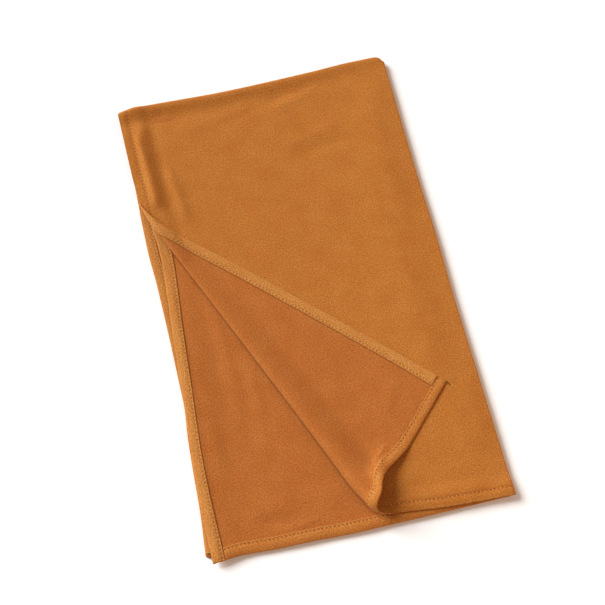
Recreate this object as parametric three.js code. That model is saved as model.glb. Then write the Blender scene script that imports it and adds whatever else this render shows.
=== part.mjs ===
// A jersey headscarf folded flat: half along its length, then in three across, with one corner turned up.
// Millimetres, +Z up, +Y along the long fold. The packet lies on the plane z = 0 with its middle at the origin.
import * as THREE from 'three';

// Heights of the stack. Cloth walls are 1 mm and lie 0.3 mm apart.
const CLOTH = 1.0;
const GAP = 0.3;
const HIDDEN_PLIES = 4;
const PLY_PITCH = 1.0;
const BUNDLE_TOP = HIDDEN_PLIES * PLY_PITCH;
const SECOND_UNDERSIDE = BUNDLE_TOP + GAP;
const SECOND_TOP = SECOND_UNDERSIDE + CLOTH;
const TOP_UNDERSIDE = SECOND_TOP + GAP;
const STRIP_STEP = CLOTH + GAP;

// Hems.
const HEM_WIDTH = 14;
const HEM_INSET = 0.4;
const FLAP_GAP = 0.5;

// Edge folds of the upper ply: how round they are and how low they reach.
const LONG_FOLD_RADIUS = 1.3;
const TOP_FOLD_RADIUS = 2.6;
const CORNER_ROUND = 12;
const CORNER_STEEPEST = 0.98;
const CORNER_SIDE = 178;
const TOP_FOLD_FOOT = PLY_PITCH + GAP;
const TOP_FOLD_LIP = 0.8;

// Hidden plies: the groove between them and their round corner inside the top fold.
const GROOVE = 0.45;
const UNDER_CORNER = 14;
const CORNER_STEP = 1.5;
const PLY_FULL_FROM = 0.3;
const PLY_FULL_TO = 0.7;
const PLY_TOP = 0.97;

// The bend of the turned corner, from the apex on the left edge down to the lower edge.
const APEX = new THREE.Vector2(-167, 154.5);
const BEND_ANGLE = THREE.MathUtils.degToRad(-66.7);
const BEND_FOOT_Y = -289;

// Past the roll the flap comes down to the upper ply over this length, and lies twice the gap above it.
const SETTLE_BASE = 12;
const SETTLE_PER_RADIUS = 3.5;
const FLAP_REST = 2 * CLOTH + 2 * GAP;

// How far in from an edge, or past a hem beneath, the upper ply stays raised and where it is down again.
const RISE = {
  pastSecondHem: { full: 5, none: 18 },
  overOwnSide: { full: 22, none: 36 },
  overEnds: { full: 25, none: 44 },
};

// Outlines as seen from above. Rows run along the edge, monotone in the first column.
const topLeftEdge = [
  { y: -287, x: -174 }, { y: -100, x: -171 }, { y: 155, x: -167 }, { y: 200, x: -169 }, { y: 296, x: -170 },
];
const topBottomEdge = [
  { x: -174, y: -286 }, { x: 27, y: -288.5 }, { x: 103, y: -296 }, { x: 180, y: -300 },
];
const longFold = [
  { y: -300, x: 180 }, { y: -270, x: 179 }, { y: -140, x: 178 }, { y: -53, x: 177 }, { y: 30, x: 178 },
  { y: 130, x: 177 }, { y: 300, x: 178 },
];
const topFold = [
  { x: -171, y: 292.5 }, { x: -140, y: 294 }, { x: -30, y: 293 }, { x: 80, y: 295.5 }, { x: 135, y: 298 },
  { x: 180, y: 298 },
];
const secondLeftEdge = [
  { y: -300, x: -173 }, { y: -245, x: -173 }, { y: -81, x: -165 }, { y: -5, x: -161 }, { y: 42, x: -158 },
  { y: 85, x: -156 }, { y: 120, x: -158 }, { y: 170, x: -164 }, { y: 297, x: -166 },
];
const secondBottomEdge = [
  { x: -174, y: -298.5 }, { x: -139, y: -295 }, { x: -102, y: -297 }, { x: -58, y: -298 }, { x: 0, y: -300 },
  { x: 60, y: -300 }, { x: 180, y: -299.5 },
];
const secondHemWidth = [
  { at: -298, width: 14 }, { at: -240, width: 13 }, { at: -150, width: 11 }, { at: -60, width: 12 },
  { at: 60, width: 14 },
];
const underLeftEdge = [
  { y: -287, x: -180 }, { y: -275, x: -179 }, { y: -241, x: -176 }, { y: -150, x: -171 }, { y: -100, x: -167 },
  { y: -35, x: -167 }, { y: 50, x: -168 }, { y: 97, x: -170 }, { y: 200, x: -169 }, { y: 298, x: -168 },
];
const underBottomEdge = [
  { x: -180, y: -288.5 }, { x: -166, y: -290 }, { x: -100, y: -295 }, { x: 60, y: -298 }, { x: 181, y: -298 },
];

// Outer radius of the roll along the bend: tight at the apex, open at the lower edge.
const rollRadius = [
  { along: 0, radius: 2.2 }, { along: 100, radius: 2.6 }, { along: 250, radius: 4.0 }, { along: 350, radius: 5.0 },
  { along: 420, radius: 6.0 }, { along: 486, radius: 6.8 },
];

// How each hidden ply lies out of line: at the lower left corner, at the long fold and at the lower fold.
const plySlip = [
  { ply: 0, corner: 0, side: 0.3, foot: 0.6 },
  { ply: 1, corner: 1.5, side: 1.0, foot: 0.2 },
  { ply: 2, corner: 3.0, side: 0.2, foot: 0.9 },
  { ply: 3, corner: 1.2, side: 0.8, foot: 0.4 },
];
const SPLAY = { full: -280, none: -180 };

// Soft swells of the upper ply: where each runs, how wide and how high.
const swells = [
  { fromX: 150, fromY: 270, toX: 146, toY: -250, width: 15, height: 1.1 },
  { fromX: 112, fromY: 180, toX: 104, toY: -120, width: 12, height: 0.6 },
  { fromX: -150, fromY: 278, toX: -143, toY: 172, width: 6, height: 0.8 },
  { fromX: 40, fromY: -262, toX: 160, toY: -276, width: 8, height: 1.0 },
];
const SWELL_FADE = 0.3;
const TOP_FOLD_SWELL = { height: 1.4, inset: 12, width: 9 };

// The raised wave of the turned corner beside its short end, by distance past the roll, in from that end and
// along the bend, and how far the same end is drawn in there.
const WAVE = { height: 4.5, start: 8, end: 105, inset: 8, width: 13, risesFrom: 300, fullFrom: 380 };
const PULL = { depth: 8, start: 20, past: 34, spread: 24, fadeFrom: 12, fadeTo: 60 };

const COLOURS = { face: 0xbe7531, back: 0xb66b32, hem: 0xc67e3f, hidden: 0xb3672b };

// Smooth, never overshooting value of column `to` at `at`, from rows in the order of column `from`.
function lookUp(rows, from, to, at) {
  const last = rows.length - 1;
  const clamped = THREE.MathUtils.clamp(at, rows[0][from], rows[last][from]);
  let i = 0;
  while (i < last - 1 && clamped > rows[i + 1][from]) i++;
  const slope = (k) => (rows[k + 1][to] - rows[k][to]) / (rows[k + 1][from] - rows[k][from]);
  const tangent = (k) => {
    if (k === 0) return slope(0);
    if (k === last) return slope(last - 1);
    const before = slope(k - 1);
    const after = slope(k);
    return before * after <= 0 ? 0 : (2 * before * after) / (before + after);
  };
  const span = rows[i + 1][from] - rows[i][from];
  const f = (clamped - rows[i][from]) / span;
  const bend = f * f * (3 - 2 * f);
  return rows[i][to] * (1 - bend) + rows[i + 1][to] * bend
    + span * (tangent(i) * f * (1 - f) ** 2 - tangent(i + 1) * f * f * (1 - f));
}

const bell = (distance, width) => Math.exp(-((distance / width) ** 2));
const fall = (value, full, none) => 1 - THREE.MathUtils.smoothstep(value, full, none);

// Height of a swell at a point: round across, fading out at its two ends.
function swellAt(swell, x, y) {
  const dx = swell.toX - swell.fromX;
  const dy = swell.toY - swell.fromY;
  const length = Math.hypot(dx, dy);
  const along = ((x - swell.fromX) * dx + (y - swell.fromY) * dy) / length;
  const across = ((x - swell.fromX) * dy - (y - swell.fromY) * dx) / length;
  const ends = fall(-along, -length * SWELL_FADE, 0) * fall(along, length * (1 - SWELL_FADE), length);
  return swell.height * bell(across, swell.width) * ends;
}

// Bend coordinates: s runs down the bend from the apex, t runs out of it to the lower left.
const bendAlong = new THREE.Vector2(Math.cos(BEND_ANGLE), Math.sin(BEND_ANGLE));
const bendAcross = new THREE.Vector2(bendAlong.y, -bendAlong.x);
const toBend = (x, y) => {
  const d = new THREE.Vector2(x, y).sub(APEX);
  return { s: d.dot(bendAlong), t: d.dot(bendAcross) };
};
const fromBend = (s, t) => APEX.clone().addScaledVector(bendAlong, s).addScaledVector(bendAcross, t);

// Height of the underside of the upper ply: it rises over the hems that lie beneath it.
function topUnderside(x, y) {
  const fromLeft = x - lookUp(topLeftEdge, 'y', 'x', y);
  const pastSecondHem = x - lookUp(secondLeftEdge, 'y', 'x', y) - HEM_WIDTH;
  const fromBottom = y - lookUp(topBottomEdge, 'x', 'y', x);
  const overSecondSide = fall(pastSecondHem, RISE.pastSecondHem.full, RISE.pastSecondHem.none);
  const overOwnSide = fall(fromLeft, RISE.overOwnSide.full, RISE.overOwnSide.none);
  const overEnds = fall(fromBottom, RISE.overEnds.full, RISE.overEnds.none);
  const hems = Math.max(overSecondSide, overEnds) + Math.max(overOwnSide, overEnds);
  const fold = lookUp(topFold, 'x', 'y', x) - TOP_FOLD_SWELL.inset - y;
  const soft = swells.reduce((sum, swell) => sum + swellAt(swell, x, y), 0);
  return TOP_UNDERSIDE + STRIP_STEP * hems + soft + TOP_FOLD_SWELL.height * bell(fold, TOP_FOLD_SWELL.width);
}

const radiusAt = (s) => lookUp(rollRadius, 'along', 'radius', s);

// Raised wave beside the short end of the turned corner.
function waveAt(x, y, s, pastRoll) {
  const fromEnd = y - lookUp(topBottomEdge, 'x', 'y', x);
  const rise = THREE.MathUtils.smoothstep(pastRoll, 0, WAVE.start * 2);
  const reach = rise * fall(pastRoll, WAVE.start, WAVE.end);
  const upTheBend = fall(-s, -WAVE.fullFrom, -WAVE.risesFrom);
  return WAVE.height * reach * bell(Math.max(0, fromEnd - WAVE.inset), WAVE.width) * upTheBend;
}

// How far the short end is drawn in beside the roll, where its edge runs in an S.
const flapInward = new THREE.Vector2(0, 1).addScaledVector(bendAcross, -2 * bendAcross.y);
function pullAt(x, y, pastRoll) {
  const fromEnd = y - lookUp(topBottomEdge, 'x', 'y', x);
  const reach = THREE.MathUtils.smoothstep(pastRoll, 0, PULL.start) * bell(pastRoll - PULL.past, PULL.spread);
  return PULL.depth * reach * fall(fromEnd, PULL.fadeFrom, PULL.fadeTo);
}

// Where a point of the uncut corner goes once it is turned: the wrong side of the cloth, on its way round
// the roll and then lying on the upper ply.
function turned(x, y) {
  const { s, t } = toBend(x, y);
  const radius = radiusAt(s);
  const foot = fromBend(s, 0);
  const base = topUnderside(foot.x, foot.y);
  const turn = t / radius;
  if (turn <= Math.PI) {
    const place = fromBend(s, radius * Math.sin(Math.max(0, turn)));
    return new THREE.Vector3(place.x, place.y, base + radius * (1 - Math.cos(Math.max(0, turn))));
  }
  const pastRoll = t - Math.PI * radius;
  const place = fromBend(s, -pastRoll).addScaledVector(flapInward, pullAt(x, y, pastRoll));
  const rest = topUnderside(place.x, place.y) + FLAP_REST;
  const settled = THREE.MathUtils.smoothstep(pastRoll, 0, SETTLE_BASE + SETTLE_PER_RADIUS * radius);
  const height = THREE.MathUtils.lerp(Math.max(base + 2 * radius, rest), rest, settled);
  return new THREE.Vector3(place.x, place.y, height + waveAt(x, y, s, pastRoll));
}

// Rounds of the search for a point that lies between two curved pairs of edges.
const SOLVE_PASSES = 12;
const numbers = (count, from, to) => Array.from({ length: count + 1 }, (_, i) => from + ((to - from) * i) / count);

// A closed wall of cloth on a surface of (u, v), between two offsets along the surface's normal.
function clothWall(us, vs, surface, near, far) {
  const step = 1e-3;
  const sheets = [near, far].map((offset) => us.map((u) => vs.map((v) => {
    const alongU = surface(u + step, v).sub(surface(u - step, v));
    const alongV = surface(u, v + step).sub(surface(u, v - step));
    return surface(u, v).addScaledVector(alongU.cross(alongV).normalize(), offset);
  })));
  const positions = sheets.flat(2).flatMap((p) => [p.x, p.y, p.z]);
  const at = (sheet, i, j) => (sheet * us.length + i) * vs.length + j;
  const faces = [];
  const quad = (a, b, c, d) => faces.push(a, b, c, a, c, d);
  for (let i = 0; i < us.length - 1; i++) {
    for (let j = 0; j < vs.length - 1; j++) {
      quad(at(1, i, j), at(1, i + 1, j), at(1, i + 1, j + 1), at(1, i, j + 1));
      quad(at(0, i, j), at(0, i, j + 1), at(0, i + 1, j + 1), at(0, i + 1, j));
    }
  }
  const lastU = us.length - 1;
  const lastV = vs.length - 1;
  for (let i = 0; i < lastU; i++) {
    quad(at(0, i, 0), at(0, i + 1, 0), at(1, i + 1, 0), at(1, i, 0));
    quad(at(1, i, lastV), at(1, i + 1, lastV), at(0, i + 1, lastV), at(0, i, lastV));
  }
  for (let j = 0; j < lastV; j++) {
    quad(at(1, 0, j), at(1, 0, j + 1), at(0, 0, j + 1), at(0, 0, j));
    quad(at(0, lastU, j), at(0, lastU, j + 1), at(1, lastU, j + 1), at(1, lastU, j));
  }
  return solid(positions, faces);
}

function solid(positions, faces) {
  const geometry = new THREE.BufferGeometry();
  geometry.setAttribute('position', new THREE.Float32BufferAttribute(positions, 3));
  geometry.setIndex(faces);
  geometry.computeVertexNormals();
  return geometry;
}

// Upper ply, from its left boundary to the long fold. u runs across and v up the packet. Past u = 1 the cloth
// goes round the long fold, and past v = 1 it goes round the top fold.
function topBoundary(y) {
  if (y > APEX.y) return lookUp(topLeftEdge, 'y', 'x', y);
  const seam = GAP / 2 / -bendAcross.x;
  return APEX.x + (y - APEX.y) * (bendAlong.x / bendAlong.y) + seam;
}

function topOutline(x) {
  const roundStart = CORNER_SIDE - CORNER_ROUND;
  const inRound = THREE.MathUtils.clamp((x - roundStart) / CORNER_ROUND, 0, 1);
  return lookUp(topFold, 'x', 'y', x) - CORNER_ROUND * (1 - Math.sqrt(1 - CORNER_STEEPEST * inRound ** 2));
}

// A point of a ply from its share of the way across and up, between its own left and lower edges and the folds.
function plyPoint(u, v, leftAt, bottomAt) {
  let x = 0;
  let y = 0;
  for (let pass = 0; pass < SOLVE_PASSES; pass++) {
    x = THREE.MathUtils.lerp(leftAt(y), lookUp(longFold, 'y', 'x', y) - LONG_FOLD_RADIUS, u);
    y = THREE.MathUtils.lerp(bottomAt(x), topOutline(x) - TOP_FOLD_RADIUS, v);
  }
  return { x, y };
}

// v in 1..2 turns a quarter over the top fold, 2..3 goes straight down to its foot. The same holds for u.
function topSurface(u, v) {
  const bottomAt = (at) => lookUp(topBottomEdge, 'x', 'y', at);
  const { x, y } = plyPoint(Math.min(u, 1), Math.min(v, 1), topBoundary, bottomAt);
  const top = topUnderside(x, y) + CLOTH;
  const turnV = THREE.MathUtils.clamp(v - 1, 0, 1) * (Math.PI / 2);
  const turnU = THREE.MathUtils.clamp(u - 1, 0, 1) * (Math.PI / 2);
  const downV = Math.max(0, v - 2);
  const downU = Math.max(0, u - 2);
  const inward = LONG_FOLD_RADIUS * (1 - Math.cos(turnU)) + downU * CLOTH;
  const quarterTop = top - TOP_FOLD_RADIUS * (1 - Math.cos(turnV));
  const z = THREE.MathUtils.lerp(quarterTop, TOP_FOLD_FOOT, downV);
  return new THREE.Vector3(
    x + LONG_FOLD_RADIUS * Math.sin(turnU),
    y + TOP_FOLD_RADIUS * Math.sin(turnV) - inward * Math.sin(turnV),
    z - inward * Math.cos(turnV),
  );
}

const lowerLeft = topBottomEdge[0];
const upperLeft = topFold[0];
const apexRow = (APEX.y - lowerLeft.y) / (upperLeft.y - TOP_FOLD_RADIUS - lowerLeft.y);
const topRows = [
  0, 0.02, 0.04, 0.06, 0.085, 0.13, 0.2, 0.28, 0.36, 0.44, 0.52, 0.6, 0.66, 0.71, apexRow,
  0.79, 0.83, 0.88, 0.93, 0.96, 0.98, 1, 1.33, 1.66, 2, 3,
];
const topColumns = [
  0, 0.02, 0.04, 0.06, 0.08, 0.11, 0.15, 0.2, 0.28, 0.38, 0.48, 0.58, 0.68, 0.76, 0.82, 0.87, 0.91, 0.94, 0.965,
  0.978, 0.988, 0.995, 1, 1.5, 2, 3,
];
const topLayer = clothWall(topColumns, topRows, topSurface, -CLOTH, 0);

// Turned corner. v counts along the cloth away from the bend: 0..1 is the roll, then the flap in steps of
// distance. u runs from the side edge to the end edge.
const flapDistances = [3, 7, 12, 18, 25, 34, 45, 58, 73, 90, 108, 126, 142, 152];
const distanceAt = (v, s) => {
  if (v <= 1) return GAP / 2 + (Math.PI * radiusAt(s) - GAP / 2) * v;
  const reach = [0, ...flapDistances];
  const i = Math.min(Math.floor(v - 1), reach.length - 2);
  return Math.PI * radiusAt(s) + THREE.MathUtils.lerp(reach[i], reach[i + 1], v - 1 - i);
};

const edgeReach = { side: { low: -40, high: 410 }, end: { low: 390, high: 500 } };
const HALVINGS = 40;

// Where a line at a given distance from the bend meets one of the two cut edges, as a length along the bend.
function meetEdge(v, edge) {
  let { low, high } = edgeReach[edge];
  for (let pass = 0; pass < HALVINGS; pass++) {
    const s = (low + high) / 2;
    const p = fromBend(s, distanceAt(v, s));
    const inside = edge === 'side'
      ? p.x > lookUp(topLeftEdge, 'y', 'x', p.y)
      : p.y < lookUp(topBottomEdge, 'x', 'y', p.x);
    if (inside) high = s;
    else low = s;
  }
  return (low + high) / 2;
}

function cornerCloth(u, v) {
  const s = THREE.MathUtils.lerp(meetEdge(v, 'side'), meetEdge(v, 'end'), u);
  return fromBend(s, distanceAt(v, s));
}

const cornerSurface = (u, v) => {
  const p = cornerCloth(u, v);
  return turned(p.x, p.y);
};
const cornerRows = [...numbers(8, 0, 1), ...numbers(flapDistances.length - 1, 2, flapDistances.length + 1)];
const cornerColumns = [0, 0.03, 0.06, 0.1, 0.16, 0.24, 0.33, 0.42, 0.51, 0.6, 0.68, 0.75, 0.81, 0.86, 0.9, 0.93,
  0.955, 0.98, 1];
const turnedCorner = clothWall(cornerColumns, cornerRows, cornerSurface, -CLOTH, 0);

// Second ply, wrong side up and flat, with its end inside the top fold and its side inside the long fold.
function secondSurface(u, v) {
  const leftAt = (y) => lookUp(secondLeftEdge, 'y', 'x', y);
  const bottomAt = (x) => lookUp(secondBottomEdge, 'x', 'y', x);
  const { x, y } = plyPoint(u, v, leftAt, bottomAt);
  return new THREE.Vector3(x, y, SECOND_TOP);
}
const secondColumns = [0, 0.1, 0.2, 0.32, 0.5, 0.68, 0.84, 0.94, 0.97, 1];
const secondLayer = clothWall(secondColumns, numbers(24, 0, 1), secondSurface, -CLOTH, 0);

// A hem strip on a ply, cut off square or along the bend. `along` goes from start(w) to stop(w), and w is the
// distance in from the edge.
function hemStrip(strip) {
  const surface = (a, w) => {
    const at = THREE.MathUtils.lerp(strip.start(w), strip.stop(w), a);
    const width = strip.narrow ? lookUp(strip.narrow, 'at', 'width', at) : HEM_WIDTH;
    return strip.place(at, (w * width) / HEM_WIDTH);
  };
  const [near, far] = strip.below ? [-strip.gap - CLOTH, -strip.gap] : [strip.gap, strip.gap + CLOTH];
  return clothWall(strip.alongs, numbers(2, HEM_INSET, HEM_WIDTH), surface, near, far);
}

const sideCloth = (y, w) => ({ x: lookUp(topLeftEdge, 'y', 'x', y) + w, y });
const endCloth = (x, w) => ({ x, y: lookUp(topBottomEdge, 'x', 'y', x) + w });
const bendX = (y) => APEX.x + ((y - APEX.y) * bendAlong.x) / bendAlong.y;
const bendY = (x) => APEX.y + ((x - APEX.x) * bendAlong.y) / bendAlong.x;
const sideMeetsBend = (w) => bendY(APEX.x + w);
const endMeetsBend = (w) => bendX(BEND_FOOT_Y + w);
const hemEnd = longFold[0].x - LONG_FOLD_RADIUS - GAP - HEM_INSET;
const seamOnSide = GAP / 2 / -bendAcross.y;
const seamOnEnd = GAP / 2 / -bendAcross.x;

const flapSideHem = hemStrip({
  gap: FLAP_GAP,
  alongs: [...numbers(20, 0, 0.92), 0.94, 0.952, 0.961, 0.969, 0.976, 0.982, 0.988, 0.994, 1],
  start: () => lowerLeft.y + HEM_WIDTH + 2 * GAP,
  stop: (w) => sideMeetsBend(w) - seamOnSide,
  place: (at, w) => {
    const p = sideCloth(at, w);
    return turned(p.x, p.y);
  },
});
const flapEndHem = hemStrip({
  gap: FLAP_GAP,
  below: true,
  alongs: [...numbers(14, 0, 0.78), 0.81, 0.835, ...numbers(10, 0.85, 1)],
  start: () => lowerLeft.x + HEM_INSET,
  stop: (w) => endMeetsBend(w) - seamOnEnd,
  place: (at, w) => {
    const p = endCloth(at, w);
    return turned(p.x, p.y);
  },
});
const topSideHem = hemStrip({
  gap: GAP,
  alongs: numbers(8, 0, 1),
  start: (w) => sideMeetsBend(w) + seamOnSide,
  stop: () => upperLeft.y - TOP_FOLD_RADIUS - GAP,
  place: (at, w) => {
    const p = sideCloth(at, w);
    return new THREE.Vector3(p.x, p.y, topUnderside(p.x, p.y));
  },
});
const topEndHem = hemStrip({
  gap: GAP,
  below: true,
  alongs: numbers(12, 0, 1),
  start: (w) => endMeetsBend(w) + seamOnEnd,
  stop: () => hemEnd,
  place: (at, w) => {
    const p = endCloth(at, w);
    return new THREE.Vector3(p.x, p.y, topUnderside(p.x, p.y));
  },
});
const secondSideHem = hemStrip({
  gap: GAP,
  narrow: secondHemWidth,
  below: true,
  alongs: numbers(22, 0, 1),
  start: () => secondBottomEdge[0].y + HEM_INSET,
  stop: () => upperLeft.y - TOP_FOLD_RADIUS - 2 * GAP,
  place: (at, w) => new THREE.Vector3(lookUp(secondLeftEdge, 'y', 'x', at) + w, at, SECOND_TOP),
});
const secondEndHem = hemStrip({
  gap: GAP,
  alongs: numbers(16, 0, 1),
  start: () => secondLeftEdge[0].x + HEM_WIDTH + 2 * GAP,
  stop: () => hemEnd,
  place: (at, w) => new THREE.Vector3(at, lookUp(secondBottomEdge, 'x', 'y', at) + w, SECOND_TOP),
});

// The hidden plies, as one solid whose edge shows each ply with a groove between. One ring of points for each
// level, all with the same count: left edge, top, long fold side, lower edge.
function plyOutline(slip, inset) {
  const points = [];
  const innerTop = slip.ply === 0 ? TOP_FOLD_LIP : TOP_FOLD_RADIUS + GAP;
  const left = (y) => lookUp(underLeftEdge, 'y', 'x', y) + slip.corner * fall(y, SPLAY.full, SPLAY.none) + inset;
  const right = (y) => lookUp(longFold, 'y', 'x', y) - slip.side - inset;
  const top = (x) => topOutline(x) - innerTop - inset;
  const lowest = underLeftEdge[0];
  const bottom = (x) => lookUp(underBottomEdge, 'x', 'y', x) + slip.foot + inset;
  const topEnd = CORNER_SIDE - UNDER_CORNER;
  const topStart = left(upperLeft.y) + CORNER_STEP;
  for (const y of numbers(16, lowest.y, top(topStart) - CORNER_STEP)) points.push([left(y), y]);
  for (const x of numbers(9, topStart, topEnd)) points.push([x, top(x)]);
  const sideTop = top(topEnd) - UNDER_CORNER;
  const centre = { x: topEnd, y: sideTop };
  const round = right(sideTop) - centre.x;
  for (const turn of [0.2, 0.35, 0.5, 0.65, 0.8]) {
    const angle = (1 - turn) * (Math.PI / 2);
    points.push([centre.x + round * Math.cos(angle), centre.y + UNDER_CORNER * Math.sin(angle)]);
  }
  for (const y of numbers(14, sideTop, bottom(CORNER_SIDE) + CORNER_STEP)) points.push([right(y), y]);
  const bottomStart = right(longFold[0].y) - CORNER_STEP;
  for (const x of numbers(14, bottomStart, left(lowest.y) + CORNER_STEP)) points.push([x, bottom(x)]);
  return points;
}

function underLayers() {
  const positions = [];
  const faces = [];
  const levels = plySlip.flatMap((slip) => [
    { slip, z: slip.ply, inset: GROOVE },
    { slip, z: slip.ply + PLY_FULL_FROM, inset: 0 },
    { slip, z: slip.ply + PLY_FULL_TO, inset: 0 },
    { slip, z: slip.ply + PLY_TOP, inset: GROOVE },
  ]);
  for (const level of levels) {
    for (const [x, y] of plyOutline(level.slip, level.inset)) positions.push(x, y, level.z * PLY_PITCH);
  }
  const count = positions.length / 3 / levels.length;
  for (let k = 0; k < levels.length - 1; k++) {
    for (let i = 0; i < count; i++) {
      const next = (i + 1) % count;
      const low = k * count;
      const high = low + count;
      faces.push(low + i, high + i, low + next, low + next, high + i, high + next);
    }
  }
  for (const [ring, flip] of [[0, false], [levels.length - 1, true]]) {
    const start = ring * count;
    const contour = Array.from({ length: count }, (_, i) => {
      const at = 3 * (start + i);
      return new THREE.Vector2(positions[at], positions[at + 1]);
    });
    for (const [a, b, c] of THREE.ShapeUtils.triangulateShape(contour, [])) {
      const faceUp = new THREE.Vector2().subVectors(contour[b], contour[a])
        .cross(new THREE.Vector2().subVectors(contour[c], contour[a])) > 0;
      if (faceUp === flip) faces.push(start + a, start + b, start + c);
      else faces.push(start + a, start + c, start + b);
    }
  }
  return solid(positions, faces);
}

const group = new THREE.Group();
function add(name, geometry, color) {
  const mesh = new THREE.Mesh(geometry, new THREE.MeshStandardMaterial({ color, roughness: 0.85, metalness: 0 }));
  mesh.name = name;
  group.add(mesh);
}
add('under_layers', underLayers(), COLOURS.hidden);
add('second_layer', secondLayer, COLOURS.back);
add('second_side_hem', secondSideHem, COLOURS.hem);
add('second_end_hem', secondEndHem, COLOURS.hem);
add('top_layer', topLayer, COLOURS.face);
add('top_side_hem', topSideHem, COLOURS.hem);
add('top_end_hem', topEndHem, COLOURS.hem);
add('turned_corner', turnedCorner, COLOURS.back);
add('flap_side_hem', flapSideHem, COLOURS.hem);
add('flap_end_hem', flapEndHem, COLOURS.hem);

// The packet's middle goes to the origin.
const box = new THREE.Box3().setFromObject(group);
group.position.set(-(box.min.x + box.max.x) / 2, -(box.min.y + box.max.y) / 2, 0);
export default group;
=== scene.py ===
"""A jersey headscarf folded into a flat packet, with one corner rolled up and over.

Lengths are millimetres in the packet's own layout, with +Y along the long fold and +X towards it, until
Placing turns them into metres of the frame. The wrong side of the cloth is the side that its hems lie on.
"""
from __future__ import annotations

import logging
import math
from collections.abc import Callable
from dataclasses import dataclass, field
from enum import Enum

import bmesh
import bpy
import numpy as np
from mathutils import Matrix, Vector

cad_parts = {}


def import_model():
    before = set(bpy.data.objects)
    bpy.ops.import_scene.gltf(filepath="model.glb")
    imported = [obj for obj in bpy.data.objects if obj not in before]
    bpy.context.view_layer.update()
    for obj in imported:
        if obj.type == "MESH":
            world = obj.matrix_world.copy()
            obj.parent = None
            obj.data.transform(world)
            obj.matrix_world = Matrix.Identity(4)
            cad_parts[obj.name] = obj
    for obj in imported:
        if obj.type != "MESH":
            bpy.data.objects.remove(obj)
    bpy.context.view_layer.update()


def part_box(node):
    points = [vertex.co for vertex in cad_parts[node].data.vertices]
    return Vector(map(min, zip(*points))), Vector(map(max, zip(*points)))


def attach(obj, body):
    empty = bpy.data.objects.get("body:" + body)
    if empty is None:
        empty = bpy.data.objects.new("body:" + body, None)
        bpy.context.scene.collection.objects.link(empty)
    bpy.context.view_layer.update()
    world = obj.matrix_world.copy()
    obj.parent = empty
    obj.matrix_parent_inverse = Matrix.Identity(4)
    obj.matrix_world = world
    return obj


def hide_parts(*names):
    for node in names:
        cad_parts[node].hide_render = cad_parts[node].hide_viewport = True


log = logging.getLogger("headscarf")

METRES = 0.001
BODY = "root"
# Half the step over which a direction on the cloth is measured
PROBE = 0.05
# Rounds in which x and y are fitted to each other on a ply
FITTING_ROUNDS = 14
# Width that the cross-section of a hem is drawn at
HEM_SECTION = 14.0
NAP_TINT = (1.0, 0.62, 0.22)
Points = np.ndarray
Pair = tuple[float, float]
Triple = tuple[float, float, float]
Socket = bpy.types.NodeSocket
Feed = float | tuple[float, ...] | Socket


def smooth(value: Points, low: float, high: float) -> Points:
    """Ease from 0 at low to 1 at high."""
    share = np.clip((value - low) / (high - low), 0.0, 1.0)
    return share * share * (3.0 - 2.0 * share)


def fall(value: Points, full: float, none: float) -> Points:
    """Ease from 1 at full down to 0 at none."""
    return 1.0 - smooth(value, full, none)


def bell(distance: Points, width: float) -> Points:
    """Round bump of height 1 over a distance from its middle."""
    return np.exp(-((distance / width) ** 2))


def between(start: Points, end: Points, share: Points) -> Points:
    """Value at a share of the way from start to end."""
    return start + (end - start) * share


def stack(*columns: Points) -> Points:
    """Rows of points from their columns."""
    return np.stack(np.broadcast_arrays(*columns), axis=-1).astype(float)


def unit(vectors: Points) -> Points:
    """Each row at a length of one."""
    return vectors / np.maximum(np.linalg.norm(vectors, axis=-1, keepdims=True), 1e-12)


def graded(*spans: Triple) -> Points:
    """Positions along a line, with a spacing of their own in each span.

    Args:
        spans: start, end and spacing of each stretch, in order.

    Returns:
        The positions from the first start to the last end.
    """
    parts = []
    for start, end, spacing in spans:
        count = max(1, round((end - start) / spacing))
        parts.append(np.linspace(start, end, count, endpoint=False))
    parts.append(np.array([spans[-1][1]]))
    return np.concatenate(parts)


@dataclass(frozen=True)
class Profile:
    """A smooth curve through rows of (position, value) that never overshoots them."""

    rows: tuple[Pair, ...]

    def at(self, position: Points) -> Points:
        """Value of the curve at each position, held level past its ends."""
        knots, values = np.array(self.rows, dtype=float).T
        spans = np.diff(knots)
        slopes = np.diff(values) / spans
        before, after = slopes[:-1], slopes[1:]
        same_way = before * after > 0
        inner = np.where(same_way, 2 * before * after / np.where(same_way, before + after, 1.0), 0.0)
        tangents = np.concatenate((slopes[:1], inner, slopes[-1:]))
        held = np.clip(position, knots[0], knots[-1])
        i = np.clip(np.searchsorted(knots, held, side="right") - 1, 0, len(spans) - 1)
        f = (held - knots[i]) / spans[i]
        ease = f * f * (3 - 2 * f)
        bend = spans[i] * (tangents[i] * f * (1 - f) ** 2 - tangents[i + 1] * f * f * (1 - f))
        return between(values[i], values[i + 1], ease) + bend


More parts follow.
